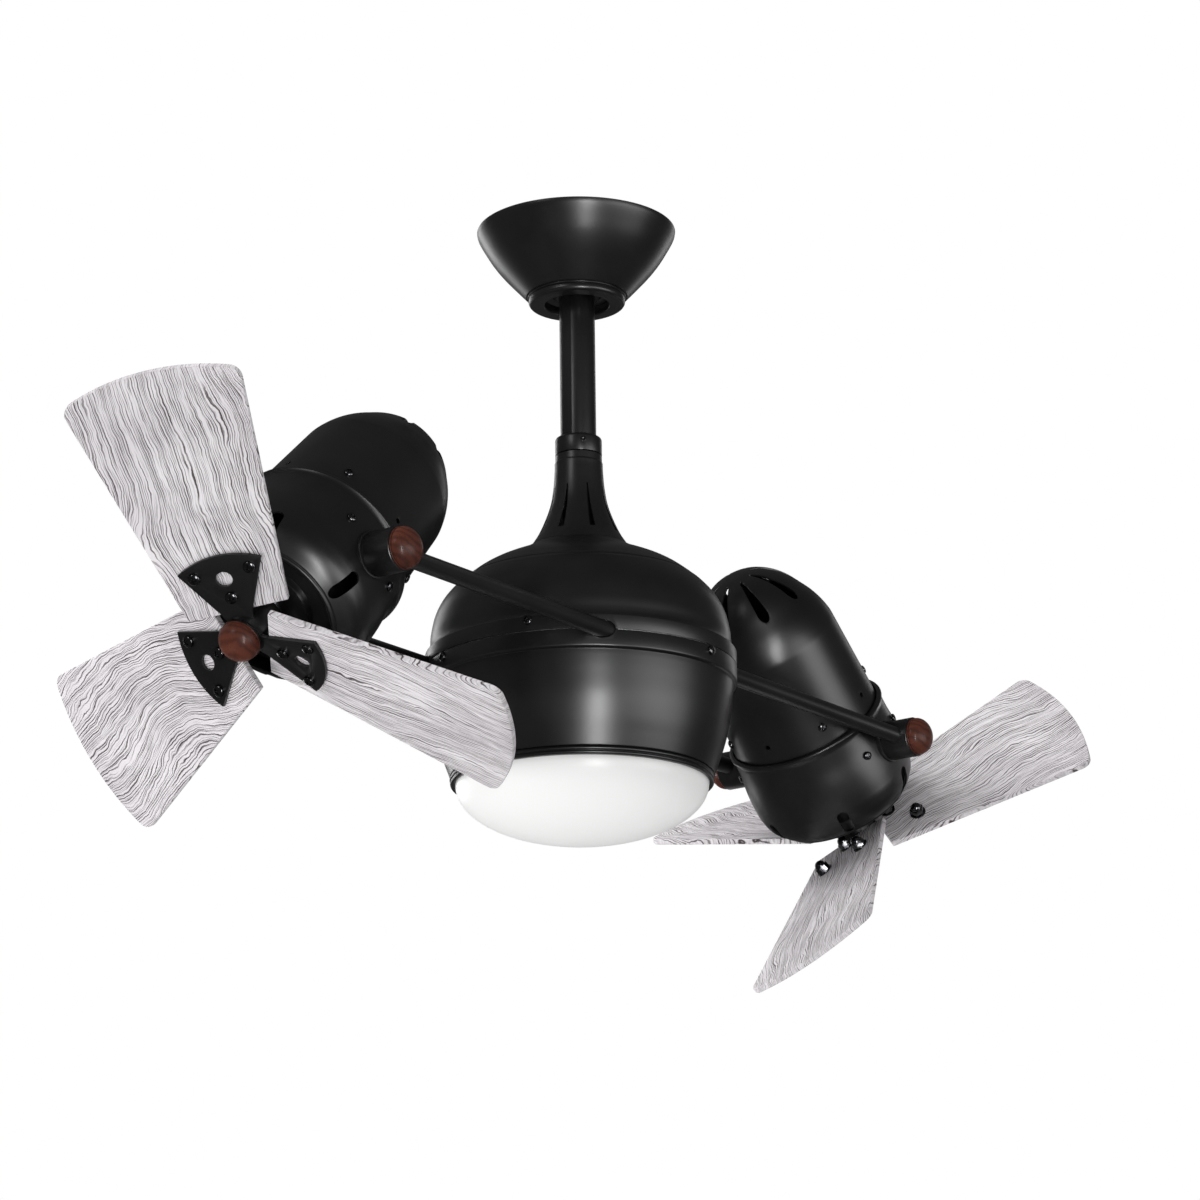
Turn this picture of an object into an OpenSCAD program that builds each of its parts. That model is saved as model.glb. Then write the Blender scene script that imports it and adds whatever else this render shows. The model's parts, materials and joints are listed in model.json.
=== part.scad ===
// Twin head ceiling fan.
// Two small fan heads hang between a pair of arms that turn about a central downrod.
// Each head tilts on its own pivots, and a lit drum sits in the middle.
// Origin: centre of the ceiling plane under the hanger bracket. +Z is up, X runs along the arms.

/* [Hanging] */
// Radius of the canopy where it meets the ceiling
canopy_r = 75; // [72:0.5:80]
// Height of the canopy bowl
canopy_h = 51.4; // [51:0.1:52.5]
// Outer diameter of the downrod
rod_d = 26.67; // [26:0.01:26.8]
// Height of the hanger ball's centre below the ceiling
ball_drop = 34; // [33:0.5:35]
// Radius of the hanger ball
ball_r = 25; // [24.5:0.1:25.5]
// Distance between the two ceiling screw slots
slot_spacing = 88.9; // [80:0.1:95]

/* [Centre body] */
// Height of the arm axis and of the body's split line, below the ceiling
arm_drop = 343.4; // [343:0.1:344]
// Radius of the band round the centre body
band_r = 114.4; // [113:0.1:116]
// Thickness of the pressed sheet of the canopy, neck, dome and drum
sheet = 1.2; // [0.8:0.1:1.5]
// Depth of the glass bowl below its ring
bowl_depth = 41; // [25:1:60]

/* [Arms] */
// Distance from the centre line to each tilt pivot
pivot_x = 320; // [316:1:360]
// Distance from the centre line to each arm rod
arm_y = 79; // [78.5:0.1:79.5]
// Diameter of the arm rod
arm_d = 12.7; // [11:0.1:13.2]
// Radius of the pivot boss on the end of an arm
boss_r = 15.4; // [14.8:0.1:17]

/* [Heads] */
// Angle of each head below the horizontal
head_tilt = 45.8; // [-90:0.1:90]
// Radius of the head at its widest
head_r = 66; // [65.5:0.1:66.2]
// Radius of the round back of the head
back_r = 57; // [55:0.5:58]
// Distance from the pivot to the centre of the round back
back_s = 109; // [95:1:115]

/* [Rotors] */
// Distance from the pivot to the middle of the blades
blade_s = 73.1; // [73:0.1:80]
// Radius from the rotor axis to the tip of a blade
tip_r = 196.4; // [190:0.1:198]
// Angle of each blade to the plane of the rotor
pitch = 18.6; // [10:0.1:19]
// Thickness of a blade
blade_t = 5; // [4:0.1:5.4]
// Number of blades on a rotor
blade_count = 3; // [3]
// Turn of the left rotor
left_spin = -8.9; // [-60:0.1:60]
// Turn of the right rotor
right_spin = 48.4; // [-60:0.1:60]

/* [Hidden] */
$fn = 64;

LEFT = -1;
RIGHT = 1;

// Finishes
black = [0.12, 0.12, 0.125];
zinc = [0.72, 0.73, 0.74];
steel = [0.62, 0.63, 0.65];
brass = [0.78, 0.62, 0.32];
wood = [0.42, 0.2, 0.16];
grey_wood = [0.8, 0.77, 0.78];
opal = [0.97, 0.97, 0.95];

// Clearances: one for a turning fit, one for a seated fit, one between moving faces
run_gap = 0.05;
seat_gap = 0.05;
face_gap = 0.3;

// Heights on the hanging parts
rod_r = rod_d / 2;
rod_bore_r = 10.45;
rod_top = -20;
rod_bottom = -236;
ball_z = -ball_drop;
flange_z = -(canopy_h - sheet);
cup_r = 28.2;
leg_x = 30.5;
bracket_w = 34;
plate_t = 2.5;
canopy_hole_r = 28.6;
canopy_screw_x = 32.5;
ring_hole_r = 24.4;
ring_bottom = -58.4;
collar_top = -164;
collar_bottom = -177.6;
collar_r = 17.4;
neck_top = collar_bottom - 0.4;
neck_bottom = -249.2;
neck_slots = 8;
neck_slot_turn = 10;

// Heights on the centre body
arm_z = -arm_drop;
arm_r = arm_d / 2;
split_gap = 0.6;
dome_hole_r = 20;
socket_r = 16.5;
socket_top = -205;
socket_bottom = -246;
spindle_r = 12.5;
spindle_bore_r = 8;
spindle_bottom = -402;
bearing_r = 26;
bearing_w = 15;
bearing_z = [-262 - bearing_w, -350 - bearing_w];
hub_r = 30;
hub_top = -260;
hub_bottom = bearing_z[1] - 1;
disc_top = arm_z + arm_r + 4;
disc_bottom = arm_z + arm_r + 0.05;
disc_r = 109.4;
rim_r = 112.6;
rim_bottom = arm_z - 9;
drum_bottom = -423.6;
ring_z = -430;
glass_r = 92.3;
glass_wall = 3;
flange_r = 93.7;
upper_screws = [-163, 17];
lower_screws = [-89, 31, 156];
upper_screw_z = arm_z + 8.2;
lower_screw_z = arm_z - 3.8;

// Sizes on the arms
boss_in = 68;
boss_out = 89.5;
bolt_r = 6;
spigot_r = 8;
cap_r = 14.5;
cap_h = 12.6;
clamp_x = 40;
clamp_screw_dy = 12.5;

// Sizes on the heads, measured along the head's own axis from the pivot
seam_s = -27;
seam_r = 61.5;
shell_t = 1.5;
pad_out = 66.5;
mouth_s = 50.5;
mouth_r = 48.5;
frame_r = 45;
frame_t = 2;
frame_back = -38;
frame_front = 42;
nose_s = 47.5;
nose_r = 32;
stator_r = 24;
stator_s = [-22, 16];
shaft_r = 6;
shaft_back = -44;
shaft_front = 80;
rear_screw_s = -45;
side_screw_s = -5.5;
side_screw_a = [65, 115, -65, -115];
rear_screw_a = [45, 135, -45, -135];
vent_count = 8;
mouth_slots = 6;

// Sizes on the rotors
blade_in = 17;
root_w = 35.4;
tip_w = 62.2;
corner_s = 184.3;
corner_r = 9;
iron_t = 2.4;
iron_r = 60.5;
iron_half = 29.5;
iron_neck = 10.5;
hole_at = [43, 0];
screw_at = [[48, 19.5], [48, -19.5], [29, 0]];
holder_r = 14.6;
holder_back = 52;
holder_front = 83;
stud_r = 2.5;

// ---- Profile helpers ----

function arc(c, r, a0, a1, n) = [for (i = [0:n]) let (a = a0 + (a1 - a0) * i / n) c + r * [cos(a), sin(a)]];

function blend4(a, b, c, d, t) =
    0.5 * (2 * b + (c - a) * t + (2 * a - 5 * b + 4 * c - d) * t * t + (3 * b - a - 3 * c + d) * t * t * t);

// A smooth line through the stations p, with n steps between two of them
function curve(p, n) = let (e = len(p) - 1) concat(
    [for (i = [0:e - 1], j = [0:n - 1]) blend4(p[max(i - 1, 0)], p[i], p[i + 1], p[min(i + 2, e)], j / n)],
    [p[e]]);

// The same line moved sideways by w, towards the axis when the line runs down
function inset(p, w) = let (e = len(p) - 1) [for (i = [0:e])
    let (d = p[min(i + 1, e)] - p[max(i - 1, 0)]) p[i] + w * [d[1], -d[0]] / norm(d)];

function back(p) = [for (i = [len(p) - 1:-1:0]) p[i]];

function ellipse(rx, ry, a0, a1, n) =
    [for (i = [0:n]) let (a = a0 + (a1 - a0) * i / n) [rx * cos(a), ry * sin(a)]];

// The two ends of the fillet of radius r at b, and the points between
function fillet(a, b, c, r, n) = let (
    u = (a - b) / norm(a - b), v = (c - b) / norm(c - b),
    half = acos(u * v) / 2, m = (u + v) / norm(u + v), o = b + m * r / sin(half),
    p = b + u * r / tan(half), q = b + v * r / tan(half),
    a0 = atan2((p - o)[1], (p - o)[0]), a1 = atan2((q - o)[1], (q - o)[0]),
    sweep = a1 - a0 > 180 ? a1 - a0 - 360 : a1 - a0 < -180 ? a1 - a0 + 360 : a1 - a0)
    arc(o, r, a0, a0 + sweep, n);

module lathe(p, steps = 128) rotate_extrude($fn = steps) polygon(p);

module skin(p, w, steps = 128) lathe(concat(p, back(inset(p, w))), steps);

module tube(r_out, r_in, z0, z1) translate([0, 0, min(z0, z1)]) difference() {
    cylinder(r = r_out, h = abs(z1 - z0));
    translate([0, 0, -1]) cylinder(r = r_in, h = abs(z1 - z0) + 2);
}

module post(r, z0, z1) translate([0, 0, min(z0, z1)]) cylinder(r = r, h = abs(z1 - z0));

// Children stand on the outside of a round body at height z and angle a, with +Z outwards
module radial(a, z) rotate([0, 0, a]) translate([0, 0, z]) rotate([0, 90, 0]) children();

// A pan head screw: head above 0, shank of length l below it
module pan_screw(r_head, h_head, r_shank, l) {
    difference() {
        lathe(concat([[0, 0], [r_head, 0]],
            [for (a = [15:15:90]) [r_head * cos(a), 0.35 * h_head + 0.65 * h_head * sin(a)]],
            [[0, h_head]]), 32);
        for (a = [0, 90]) rotate([0, 0, a]) translate([-r_head * 0.55, -r_head * 0.12, h_head * 0.55])
            cube([r_head * 1.1, r_head * 0.24, h_head]);
    }
    translate([0, 0, -l]) cylinder(r = r_shank, h = l + 0.01);
}

// ---- Ceiling mount ----

module bracket_slot(x) translate([x, 0, -plate_t - 1]) linear_extrude(plate_t + 2) union() {
    for (dx = [-4.2, 4.2]) translate([dx, 0]) circle(r = 2.8);
    square([8.4, 5.6], center = true);
}

module hanger_bracket() color(zinc) difference() {
    union() {
        translate([-56, -bracket_w / 2, -plate_t]) cube([112, bracket_w, plate_t]);
        for (s = [-1, 1]) translate([s > 0 ? leg_x : -leg_x - plate_t, -bracket_w / 2, flange_z])
            cube([plate_t, bracket_w, -flange_z]);
        intersection() {
            translate([0, 0, flange_z]) cylinder(r = 36, h = plate_t);
            translate([-40, -bracket_w / 2, flange_z]) cube([80, bracket_w, plate_t]);
        }
        translate([0, 0, flange_z]) cylinder(r = cup_r, h = ball_z - flange_z + 1);
    }
    translate([0, 0, ball_z]) sphere(r = ball_r + run_gap, $fn = 96);
    translate([0, 0, flange_z - 1]) cylinder(r = 19.2, h = 4);
    // Side opening that the rod passes through when the ball is hooked in
    translate([-rod_r - 1, 0, flange_z - 1]) cube([rod_d + 2, 40, ball_z - flange_z + 12]);
    translate([0, 0, -plate_t - 1]) cylinder(r = 12.5, h = plate_t + 2);
    for (x = [-1, 1]) bracket_slot(x * slot_spacing / 2);
    for (x = [-1, 1]) translate([x * canopy_screw_x, 0, flange_z - 1])
        cylinder(r = 1.5 + seat_gap, h = plate_t + 12, $fn = 24);
}

canopy_line = curve([[canopy_r, 0], [canopy_r - 1, -4], [69.7, -12], [63.6, -22], [55.9, -32],
    [46, -43], [38.2, -canopy_h]], 5);

module canopy() color(black) difference() {
    lathe(concat(canopy_line, [[canopy_hole_r, -canopy_h], [canopy_hole_r, flange_z]],
        back([for (p = inset(canopy_line, sheet)) [p[0], min(0, max(p[1], flange_z))]])));
    for (x = [-1, 1]) translate([x * canopy_screw_x, 0, -canopy_h - 1]) cylinder(r = 1.7, h = 4, $fn = 24);
}

module canopy_ring() color(black) lathe(concat(
    [[ring_hole_r, -canopy_h - 0.1], [ring_hole_r, ring_bottom + 0.8], [ring_hole_r + 0.8, ring_bottom]],
    arc([33.4, ring_bottom + 3], 3, -90, 0, 6),
    [[36.4, -canopy_h - 2.2], [35.4, -canopy_h - 1.6], [36.9, -canopy_h - 1], [36.9, -canopy_h - 0.1],
     [35, -canopy_h - 0.1], [35, -canopy_h - 3.4], [29.6, -canopy_h - 3.4], [29.6, -canopy_h - 0.1]]));

module canopy_screws() color(black) for (x = [-1, 1])
    translate([x * canopy_screw_x, 0, -canopy_h]) rotate([180, 0, 0]) pan_screw(2.3, 2.2, 1.5, 6);

// ---- Downrod ----

module hanger_ball() color(black) difference() {
    intersection() {
        translate([0, 0, ball_z]) sphere(r = ball_r, $fn = 96);
        post(ball_r + 1, ball_z - 19, ball_z + 16);
    }
    post(rod_r + seat_gap, ball_z - 30, ball_z + 30);
    translate([0, 0, ball_z + 4]) rotate([0, 90, 0]) cylinder(r = 3.2, h = 60, center = true, $fn = 32);
}

module ball_pin() color(steel) translate([0, 0, ball_z + 4]) rotate([0, 90, 0])
    cylinder(r = 3.1, h = 44, center = true, $fn = 32);

module downrod() color(black) difference() {
    post(rod_r, rod_bottom, rod_top);
    post(rod_bore_r, rod_bottom - 1, rod_top + 1);
    for (z = [ball_z + 4, socket_top - 16]) translate([0, 0, z]) rotate([0, 90, 0])
        cylinder(r = 3.2, h = 60, center = true, $fn = 32);
}

module rod_collar() color(black) difference() {
    lathe([[rod_r + seat_gap, collar_bottom], [collar_r, collar_bottom], [collar_r, collar_top - 2.4],
        [collar_r - 0.8, collar_top - 1], [collar_r - 2, collar_top], [rod_r + seat_gap, collar_top]]);
    for (a = [-132, 48]) radial(a, collar_top - 5.4) cylinder(r = 2 + seat_gap, h = 30, $fn = 24);
}

module collar_screws() color(black) for (a = [-132, 48]) radial(a, collar_top - 5.4) difference() {
    translate([0, 0, rod_r + 0.1]) cylinder(r = 2, h = collar_r - rod_r + 0.3, $fn = 24);
    translate([0, 0, collar_r - 1]) cylinder(r = 1, h = 2, $fn = 6);
}

neck_line = curve([[17.3, neck_top], [17.9, -190], [19, -203], [21.2, -216], [25.4, -228.5],
    [30.9, -240.5], [37, neck_bottom]], 5);

module neck_cover() color(black) difference() {
    lathe(concat([[rod_r + 0.2, neck_top]], neck_line, back(inset(neck_line, sheet)),
        [[rod_r + 0.2, neck_top - sheet]]));
    for (i = [0:neck_slots - 1]) rotate([90, 0, neck_slot_turn + 90 + i * 360 / neck_slots])
        linear_extrude(45) polygon([[-0.45, -204], [0.45, -204], [2.2, -240.5], [-2.2, -240.5]]);
}

module spindle() color(black) difference() {
    union() {
        post(socket_r, socket_bottom, socket_top);
        post(spindle_r, spindle_bottom, socket_bottom + 1);
    }
    post(rod_r + seat_gap, rod_bottom - 0.5, socket_top + 1);
    post(spindle_bore_r, spindle_bottom - 1, socket_top);
    translate([0, 0, socket_top - 16]) rotate([0, 90, 0]) cylinder(r = 3.2, h = 60, center = true, $fn = 32);
}

module clevis_pin() color(zinc) translate([0, 0, socket_top - 16]) rotate([0, 90, 0]) {
    cylinder(r = 3.1, h = 34.6, center = true, $fn = 32);
    translate([0, 0, 17.2]) cylinder(r = 4.4, h = 1, $fn = 32);
}

module spindle_nut() color(zinc) translate([0, 0, bearing_z[1] - 9]) difference() {
    cylinder(r = 19, h = 9 - face_gap, $fn = 6);
    translate([0, 0, -1]) cylinder(r = spindle_r + seat_gap, h = 11);
}

// Insulating core with three contact rings
module slip_rings() {
    color(zinc) tube(17, spindle_r + seat_gap, -400, -375.5);
    color(brass) for (i = [0:2]) tube(19.5, 17, -380.5 - i * 7.5, -377 - i * 7.5);
}

// ---- Centre body ----

module arm_channels(r) for (s = [-1, 1]) translate([0, s * arm_y, arm_z]) rotate([0, 90, 0])
    cylinder(r = r, h = 260, center = true, $fn = 48);

module seam_holes(r) {
    for (a = upper_screws) radial(a, upper_screw_z) cylinder(r = r, h = 130, $fn = 24);
    for (a = lower_screws) radial(a, lower_screw_z) cylinder(r = r, h = 130, $fn = 24);
}

module arm_carrier() color(zinc) difference() {
    union() {
        post(hub_r, hub_bottom, hub_top);
        post(disc_r, disc_bottom, disc_top);
        tube(rim_r, disc_r - 0.1, rim_bottom, disc_top - 2.6);
        for (a = upper_screws) rotate([0, 0, a]) translate([disc_r - 12, -6, disc_bottom])
            cube([10, 12, disc_top - disc_bottom]);
    }
    for (z = bearing_z) post(bearing_r + seat_gap, z, z + bearing_w);
    post(bearing_r + seat_gap, hub_bottom - 1, bearing_z[1] + 1);
    post(bearing_r + seat_gap, bearing_z[0] + bearing_w - 1, hub_top + 1);
    post(22, hub_bottom - 1, hub_top + 1);
    for (i = [0:5]) rotate([0, 0, 30 + i * 60]) translate([62, 0, disc_bottom - 1]) cylinder(r = 15, h = 6);
    arm_channels(arm_r + 0.7);
    seam_holes(1.8 + seat_gap);
    for (x = [-1, 1], y = [-1, 1], d = [-1, 1])
        translate([x * clamp_x, y * arm_y + d * clamp_screw_dy, disc_bottom - 1])
            cylinder(r = 2.5 + seat_gap, h = 6, $fn = 24);
    translate([36, 0, disc_bottom - 1]) cylinder(r = 2, h = 6, $fn = 24);
}

module hub_bearings() color(steel) for (z = bearing_z) translate([0, 0, z]) difference() {
    cylinder(r = bearing_r, h = bearing_w);
    translate([0, 0, -1]) cylinder(r = spindle_r + run_gap, h = bearing_w + 2);
    for (f = [-1, bearing_w - 1]) translate([0, 0, f]) tube(22, 16.5, 0, 2);
}

dome_line = concat(
    [[dome_hole_r, -249.6]],
    curve([[38.2, -250.4], [46, -255], [54, -258.6], [62, -262], [70, -265.9], [78, -270.8],
        [87, -277.8]], 3),
    curve([[88, -279.2], [92.3, -282.2], [101.2, -292.4], [107.1, -303.9], [110.1, -317.1],
        [111.2, -330.6]], 5),
    arc([band_r - 1.4, -333.2], 1.4, 110, 0, 4), [[band_r, arm_z + split_gap / 2]]);

module dome() color(black) difference() {
    skin(dome_line, sheet);
    arm_channels(arm_r + 0.7);
    seam_holes(2);
}

drum_line = concat(
    [[band_r, arm_z - split_gap / 2], [band_r - 0.1, arm_z - 9]],
    arc([band_r - 1.9, arm_z - 11.4], 1.8, 0, -90, 4),
    curve([[111.7, arm_z - 13.8], [111.3, -362], [110.1, -372], [107.7, -388], [104, -402],
        [99.8, -414], [96.3, drum_bottom]], 4));

module drum() color(black) difference() {
    skin(drum_line, sheet);
    arm_channels(arm_r + 0.7);
    seam_holes(2);
}

module seam_screws() color(black) {
    for (a = upper_screws) radial(a, upper_screw_z) translate([0, 0, band_r + 0.1])
        pan_screw(3.6, 2.2, 1.8, 10);
    for (a = lower_screws) radial(a, lower_screw_z) translate([0, 0, band_r + 0.1])
        pan_screw(3.6, 2.2, 1.8, 10);
}

// One arm: a rod with a welded pivot boss at each end
module arm(side) color(black) difference() {
    union() {
        translate([-pivot_x, side * arm_y, arm_z]) rotate([0, 90, 0]) cylinder(r = arm_r, h = 2 * pivot_x);
        for (x = [-1, 1]) translate([x * pivot_x, side * boss_in, arm_z]) rotate([-side * 90, 0, 0])
            lathe([[0, 0], [boss_r, 0], [boss_r, boss_out - boss_in - 0.6],
                [boss_r - 0.5, boss_out - boss_in], [0, boss_out - boss_in]], 64);
    }
    for (x = [-1, 1]) translate([x * pivot_x, side * boss_in, arm_z]) rotate([-side * 90, 0, 0]) {
        translate([0, 0, -1]) cylinder(r = bolt_r + seat_gap, h = boss_out - boss_in + 2);
        translate([0, 0, 12]) cylinder(r = spigot_r + seat_gap, h = 20);
    }
}

module front_arm() arm(-1);

module rear_arm() arm(1);

module arm_clamps() color(zinc) for (x = [-1, 1], y = [-1, 1])
    translate([x * clamp_x, y * arm_y, arm_z]) difference() {
        translate([-7, -17, -9]) cube([14, 34, 9 + arm_r]);
        rotate([0, 90, 0]) cylinder(r = arm_r + seat_gap, h = 20, center = true, $fn = 48);
        translate([-8, -arm_r, 0]) cube([16, arm_d, 8]);
        for (d = [-1, 1]) translate([0, d * clamp_screw_dy, -10])
            cylinder(r = 2.5 + seat_gap, h = 20, $fn = 24);
    }

module clamp_screws() color(zinc) for (x = [-1, 1], y = [-1, 1], d = [-1, 1])
    translate([x * clamp_x, y * arm_y + d * clamp_screw_dy, arm_z - 9]) rotate([180, 0, 0])
        pan_screw(4.4, 3, 2.5, 19);

// A turned wooden dome on a base at 0
module wood_dome(r, h, lip) lathe(concat([[0, 0], [r - 0.4, 0], [r, 0.4]],
    [for (p = ellipse(r, h - lip, 0, 90, 16)) p + [0, lip]]), 64);

module boss_caps() color(wood) for (x = [-1, 1], y = [-1, 1])
    translate([x * pivot_x, y * boss_out, arm_z]) rotate([-y * 90, 0, 0]) {
        wood_dome(cap_r, cap_h, 1.6);
        translate([0, 0, -6]) cylinder(r = spigot_r, h = 6.01);
    }

// Shoulder bolts put in from inside the head and screwed into the boss
module pivot_bolts() color(zinc) for (x = [-1, 1], y = [-1, 1])
    translate([x * pivot_x, y * 47.5, arm_z]) rotate([-y * 90, 0, 0]) {
        cylinder(r = 9.5, h = 5, $fn = 6);
        cylinder(r = bolt_r, h = 31);
    }

module brush_holder() {
    color(black) difference() {
        union() {
            translate([31, -7, -400]) cube([5, 14, disc_bottom + 400]);
            translate([23, -7, -400]) cube([9, 14, 25]);
        }
        for (i = [0:2]) translate([20, -2, -380.5 - i * 7.5]) cube([11, 4, 3.5]);
    }
    color(brass) for (i = [0:2]) translate([19.5 + face_gap, -1.95, -380.4 - i * 7.5]) cube([11, 3.9, 3.3]);
}

module lamp_plate() color(zinc) skin([[101, -405.5], [98.8, -406.2], [92, -414], [12, -414], [9, -414]], 1.2);

module led_board() color(opal) {
    tube(80, 14, -415.8, -414.1);
    for (ring = [[30, 8], [50, 14], [70, 20]], i = [0:ring[1] - 1])
        rotate([0, 0, i * 360 / ring[1]]) translate([ring[0], 0, -416.2])
            cube([3.5, 3.5, 1.6], center = true);
}

module glass_bowl() color(opal) lathe(concat(
    [for (p = ellipse(glass_r, bowl_depth, -90, 0, 24)) p + [0, ring_z]],
    [[glass_r, ring_z + 3.2], [flange_r, ring_z + 3.2], [flange_r, ring_z + 6.2],
     [glass_r - glass_wall, ring_z + 6.2]],
    [for (p = ellipse(glass_r - glass_wall, bowl_depth - glass_wall, 0, -90, 24)) p + [0, ring_z]]));

module glass_ring() color(black) lathe(concat(
    [[94.9, -414.5], [94.9, drum_bottom - 0.3], [95.6, drum_bottom - 0.3]],
    arc([95.2, -425.6], 1.4, 70, -50, 6),
    [[95.5, -427.1]],
    arc([94.8, -428.5], 1.4, 60, -80, 6),
    [[92.7, ring_z], [92.7, ring_z + 3], [93.9, ring_z + 3], [93.9, -414.5]]));

// ---- Heads ----

// Head frame: origin on the tilt pivot, +Z out of the mouth, Y along the pivot
module at_head(side) rotate([0, 0, side > 0 ? 180 : 0]) translate([-pivot_x, 0, arm_z])
    rotate([0, -(90 + head_tilt), 0]) children();

// Outline of the rear shell's round end about its centre, as a share of its radius
rear_form = [[0, -1.025], [0.09, -1.023], [0.193, -1.007], [0.374, -0.944], [0.553, -0.818], [0.693, -0.66],
    [0.803, -0.475], [0.888, -0.319], [0.951, -0.161], [0.993, 0], [1.003, 0.09]];
rear_line = concat(curve([for (p = rear_form) [p[0] * back_r, p[1] * back_r - back_s]], 3),
    [[seam_r - 0.6, seam_s - 6], [seam_r, seam_s]]);

module tear_slot() linear_extrude(50) polygon(concat(
    arc([14.5, 0], 1, 97, 263, 8), arc([40.5, 0], 4.4, -83, 83, 14)));

module rear_shell(side) color(black) at_head(side) difference() {
    lathe(concat(rear_line, back([for (p = inset(rear_line, -shell_t)) [max(0, p[0]), p[1]]])));
    for (i = [0:vent_count - 1]) rotate([0, 0, i * 360 / vent_count]) translate([0, 0, -175]) tear_slot();
    for (a = rear_screw_a) radial(a, rear_screw_s) cylinder(r = 2, h = 80, $fn = 24);
    for (a = [0:90:270]) radial(a, rear_screw_s) cylinder(r = 1.9, h = 80, $fn = 24);
}

// Outline of the front shell, from the seam forward to the rolled mouth
front_line = concat(
    [[seam_r + 0.7, seam_s - 4]], arc([seam_r + 2.1, seam_s - 1.8], 1.9, -70, 50, 6),
    curve([[seam_r + 2.3, seam_s + 2], [64.2, -12], [65.6, 2], [head_r, 14], [head_r - 0.4, 25]], 3),
    curve([[head_r - 0.9, 28.2], [63, 36], [59, 42.5], [53.5, 48], [mouth_r + 2, mouth_s]], 4));

module pivot_pads() for (y = [-1, 1]) rotate([-y * 90, 0, 0]) post(16.5, 55, pad_out);

module front_shell(side) color(black) at_head(side) difference() {
    union() {
        lathe(concat(front_line, arc([mouth_r + 1.6, mouth_s - 1.6], 1.6, 90, 225, 7),
            back([for (p = inset(front_line, -shell_t)) if (p[1] < mouth_s - 3.2) p])));
        intersection() {
            pivot_pads();
            difference() {
                translate([0, 0, -20]) cylinder(r = 70, h = 40);
                translate([0, 0, -21]) cylinder(r = 60, h = 42);
            }
        }
    }
    for (y = [-1, 1]) rotate([-y * 90, 0, 0]) post(9 + seat_gap, 50, 80);
    for (i = [0:mouth_slots - 1]) rotate([0, 0, 30 + i * 60]) translate([0, 0, 36]) rotate([0, 90, 0])
        linear_extrude(80) union() {
            for (d = [-1, 1]) translate([d * 7, 0]) circle(r = 4.5);
            square([14, 9], center = true);
        }
    for (a = side_screw_a) radial(a, side_screw_s) cylinder(r = 2, h = 80, $fn = 24);
}

module shell_screws(side) color(black) at_head(side) {
    for (a = side_screw_a) radial(a, side_screw_s) translate([0, 0, 65.3]) pan_screw(3.4, 2.2, 1.8, 8);
    for (a = rear_screw_a) radial(a, rear_screw_s) translate([0, 0, 60.5]) pan_screw(3.4, 2.2, 1.8, 8);
}

module motor_lugs(angles, s, reach) for (a = angles) radial(a, s)
    translate([-4.5, -4.5, frame_r - 1]) cube([9, 9, reach - frame_r + 1]);

module motor_frame(side) color(black) at_head(side) difference() {
    union() {
        lathe([[20, frame_back], [frame_r, frame_back], [frame_r, frame_front], [nose_r, frame_front],
            [nose_r - 1, nose_s], [12.05, nose_s], [12.05, nose_s - 3], [18, nose_s - 3],
            [18, frame_front - frame_t], [frame_r - frame_t, frame_front - frame_t],
            [frame_r - frame_t, frame_back + frame_t], [20, frame_back + frame_t]], 96);
        tube(21, 13.05, frame_back, frame_back + 9);
        tube(19, 13.05, frame_front - 6, nose_s - 2.5);
        motor_lugs(side_screw_a, side_screw_s, 62.3);
        motor_lugs(rear_screw_a, rear_screw_s + 14, 50);
        for (a = rear_screw_a) radial(a, rear_screw_s + 5) translate([-14, -4, 44]) cube([19, 8, 2.5]);
        for (a = rear_screw_a) radial(a, rear_screw_s) translate([-4.5, -4, 44]) cube([9, 8, 13.7]);
    }
    for (a = side_screw_a) radial(a, side_screw_s) cylinder(r = 1.8 + seat_gap, h = 80, $fn = 24);
    for (a = rear_screw_a) radial(a, rear_screw_s) cylinder(r = 1.8 + seat_gap, h = 80, $fn = 24);
    for (i = [0:5]) rotate([0, 0, i * 60]) translate([32, 0, frame_back - 1])
        cylinder(r = 6, h = 4, $fn = 32);
}

// Laminated ring with twelve slots, and the wound coil ends
module stator(side) at_head(side) {
    color(steel) translate([0, 0, stator_s[0]]) linear_extrude(stator_s[1] - stator_s[0]) difference() {
        circle(r = frame_r - frame_t - seat_gap, $fn = 96);
        circle(r = stator_r, $fn = 96);
        for (i = [0:11]) rotate([0, 0, i * 30]) translate([stator_r - 1, -1.2]) square([12, 2.4]);
    }
    color(brass) for (s = [stator_s[0] - 6, stator_s[1]]) translate([0, 0, s])
        lathe([[27, 0], [39, 0], [40, 1.5], [40, 4.5], [38.5, 6], [28, 6], [26.5, 4.5], [26.5, 1.5]], 64);
}

module motor_bearings(side) color(steel) at_head(side)
    for (s = [frame_back, nose_s - 11]) difference() {
        tube(13, shaft_r + run_gap, s + 1, s + 8);
        for (f = [0, 7.5]) tube(11, 8.5, s + 0.4 + f, s + 1.5 + f);
    }

// Flanged bushes in the side walls, turning on the pivot bolts
module pivot_bushes(side) color(brass) at_head(side) for (y = [-1, 1]) rotate([-y * 90, 0, 0]) difference() {
    union() {
        post(9, 55, pad_out + 0.5);
        post(14.8, pad_out + 0.02, boss_in - face_gap);
    }
    post(bolt_r + run_gap, 50, 80);
}

// ---- Rotors ----

module motor_rotor(side) at_head(side) {
    color(steel) post(shaft_r, shaft_back, shaft_front);
    color(zinc) tube(stator_r - 0.5, shaft_r, stator_s[0] - 2, stator_s[1] + 2);
}

module at_blade(side, i) at_head(side)
    rotate([0, 0, (side < 0 ? left_spin : right_spin) + i * 360 / blade_count])
        translate([0, 0, blade_s]) rotate([pitch, 0, 0]) children();

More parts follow.
